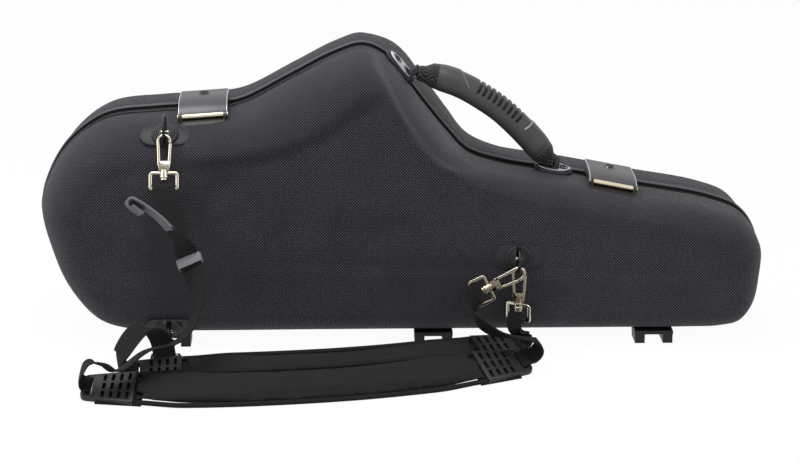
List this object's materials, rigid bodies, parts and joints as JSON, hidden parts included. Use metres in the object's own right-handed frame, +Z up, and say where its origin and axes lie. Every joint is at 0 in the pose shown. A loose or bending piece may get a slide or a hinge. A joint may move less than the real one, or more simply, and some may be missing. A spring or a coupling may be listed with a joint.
{
  "type": "alto saxophone case",
  "caption": "Moulded two-shell alto saxophone case standing on its hinges, with flap latches, a ribbed carrying handle and padded shoulder straps clipped to rings.",
  "frame": {"origin": "centre of the bounding box at floor level, under the middle of the case and its straps", "axes": "+X along the case towards the neck end, +Y from the strap side towards the lid, +Z up"},
  "size_m": [0.6632, 0.3226, 0.2706],
  "materials": {
    "lining_plush": "plush over foam",
    "bead_plastic": "satin",
    "shell_fabric": "ballistic weave over a moulded shell",
    "soft_rubber": "matte",
    "bright_metal": "polished nickel",
    "strap_webbing": "woven webbing",
    "pad_fabric": "padded",
    "fitting_plastic": "satin",
    "rim_rubber": "matte",
    "grip_rubber": "satin",
    "bracket_metal": "satin",
    "hinge_plastic": "matte",
    "latch_metal": "satin",
    "buckle_plastic": "satin"
  },
  "bodies": {
    "case": {"bell_bottom_anchor": "soft_rubber", "bell_top_anchor": "soft_rubber", "bottom_hook_loop": "bright_metal", "bottom_strap": "strap_webbing", "face_anchor": "soft_rubber", "front_lining": "lining_plush", "front_pad": "pad_fabric", "front_pad_left_end": "fitting_plastic", "front_pad_right_end": "fitting_plastic", "front_rim": "rim_rubber", "front_shell": "shell_fabric", "handle_lower_pad": "soft_rubber", "handle_lower_plate": "bracket_metal", "handle_upper_pad": "soft_rubber", "handle_upper_plate": "bracket_metal", "leaning_hook_loop": "bright_metal", "leaning_strap": "strap_webbing", "left_hinge_front": "hinge_plastic", "left_latch_bar": "bright_metal", "left_latch_base": "latch_metal", "middle_hinge_front": "hinge_plastic", "rear_pad": "pad_fabric", "rear_pad_left_end": "fitting_plastic", "rear_pad_right_end": "fitting_plastic", "right_hinge_front": "hinge_plastic", "right_latch_bar": "bright_metal", "right_latch_base": "latch_metal", "strap_slide": "buckle_plastic", "strap_tail": "strap_webbing", "top_hook_loop": "bright_metal", "top_strap": "strap_webbing", "upright_hook_loop": "bright_metal", "upright_strap": "strap_webbing"},
    "lid": {"back_lining": "lining_plush", "back_rim": "bead_plastic", "back_shell": "shell_fabric", "left_hinge_back": "hinge_plastic", "left_latch_keeper": "latch_metal", "middle_hinge_back": "hinge_plastic", "right_hinge_back": "hinge_plastic", "right_latch_keeper": "latch_metal"},
    "handle": {"handle_grip": "grip_rubber", "handle_lower_end": "strap_webbing", "handle_upper_end": "strap_webbing"},
    "left_cover": {"left_latch_cover": "latch_metal"},
    "left_lock": {"left_lock": "bright_metal"},
    "right_cover": {"right_latch_cover": "latch_metal"},
    "right_lock": {"right_lock": "bright_metal"},
    "bell_top_ring": {"bell_top_ring": "bright_metal"},
    "bell_bottom_ring": {"bell_bottom_ring": "bright_metal"},
    "face_ring": {"face_ring": "bright_metal"},
    "top_hook": {"top_hook": "bright_metal"},
    "top_gate": {"top_gate": "bright_metal"},
    "bottom_hook": {"bottom_hook": "bright_metal"},
    "bottom_gate": {"bottom_gate": "bright_metal"},
    "upright_hook": {"upright_hook": "bright_metal"},
    "upright_gate": {"upright_gate": "bright_metal"},
    "leaning_hook": {"leaning_hook": "bright_metal"},
    "leaning_gate": {"leaning_gate": "bright_metal"}
  },
  "joints": [
    {"name": "lid_hinge", "type": "hinge", "parent": "case", "child": "lid", "pos_m": [0, 0.072, 0.006], "axis": [-1, 0, 0], "range_deg": [0, 100]},
    {"name": "handle_swing", "type": "hinge", "parent": "case", "child": "handle", "pos_m": [0.01082, 0.056, 0.24594], "axis": [0.8338, 0, -0.5521], "range_deg": [-75, 75]},
    {"name": "left_latch_cover_flap", "type": "hinge", "parent": "case", "child": "left_cover", "pos_m": [-0.17935, 0.026, 0.21195], "axis": [0.9979, 0, 0.0654], "range_deg": [0, 100]},
    {"name": "left_lock_turn", "type": "hinge", "parent": "left_cover", "child": "left_lock", "pos_m": [-0.18, 0.069, 0.22191], "axis": [-0.0654, 0, 0.9979], "range_deg": [0, 90]},
    {"name": "right_latch_cover_flap", "type": "hinge", "parent": "case", "child": "right_cover", "pos_m": [0.19076, 0.026, 0.14576], "axis": [0.9815, 0, -0.1912], "range_deg": [0, 100]},
    {"name": "right_lock_turn", "type": "hinge", "parent": "right_cover", "child": "right_lock", "pos_m": [0.19169, 0.069, 0.15055], "axis": [0.1912, 0, 0.9815], "range_deg": [0, 90]},
    {"name": "bell_top_ring_turn", "type": "hinge", "parent": "case", "child": "bell_top_ring", "pos_m": [-0.21226, 0.00729, 0.20109], "axis": [1, 0, 0], "range_deg": [0, 10]},
    {"name": "bell_bottom_ring_turn", "type": "hinge", "parent": "case", "child": "bell_bottom_ring", "pos_m": [-0.21194, -0.00299, 0.01917], "axis": [1, 0, 0], "range_deg": [0, 8]},
    {"name": "face_ring_turn", "type": "hinge", "parent": "case", "child": "face_ring", "pos_m": [0.10296, -0.00998, 0.08704], "axis": [1, 0, 0], "range_deg": [0, 6]},
    {"name": "top_hook_swivel", "type": "hinge", "parent": "case", "child": "top_hook", "pos_m": [-0.21226, -0.00403, 0.19514], "axis": [0, 0.4384, 0.8988], "range_deg": [-6, 6]},
    {"name": "top_gate_pivot", "type": "hinge", "parent": "top_hook", "child": "top_gate", "pos_m": [-0.20902, -0.01358, 0.17556], "axis": [0, -0.8988, 0.4384], "range_deg": [0, 22], "stiffness_Nm_per_rad": 0.005, "springref_deg": -11.46},
    {"name": "bottom_hook_swivel", "type": "hinge", "parent": "case", "child": "bottom_hook", "pos_m": [-0.21194, -0.02177, 0.01418], "axis": [0, 0.9976, 0.0698], "range_deg": [-12, 12]},
    {"name": "bottom_gate_pivot", "type": "hinge", "parent": "bottom_hook", "child": "bottom_gate", "pos_m": [-0.20871, -0.0435, 0.01266], "axis": [0, -0.0698, 0.9976], "range_deg": [0, 22], "stiffness_Nm_per_rad": 0.005, "springref_deg": -11.46},
    {"name": "upright_hook_swivel", "type": "hinge", "parent": "case", "child": "upright_hook", "pos_m": [0.10296, -0.01598, 0.07499], "axis": [0, 0, 1], "range_deg": [-3, 3]},
    {"name": "upright_gate_pivot", "type": "hinge", "parent": "upright_hook", "child": "upright_gate", "pos_m": [0.1062, -0.01598, 0.05321], "axis": [0, -1, 0], "range_deg": [0, 22], "stiffness_Nm_per_rad": 0.005, "springref_deg": -11.46},
    {"name": "leaning_hook_swivel", "type": "hinge", "parent": "case", "child": "leaning_hook", "pos_m": [0.10188, -0.02048, 0.07585], "axis": [0.8988, 0, 0.4384], "range_deg": [-3, 3]},
    {"name": "leaning_gate_pivot", "type": "hinge", "parent": "leaning_hook", "child": "leaning_gate", "pos_m": [0.08373, -0.02048, 0.0634], "axis": [0, -1, 0], "range_deg": [0, 22], "stiffness_Nm_per_rad": 0.005, "springref_deg": -11.46}
  ]
}
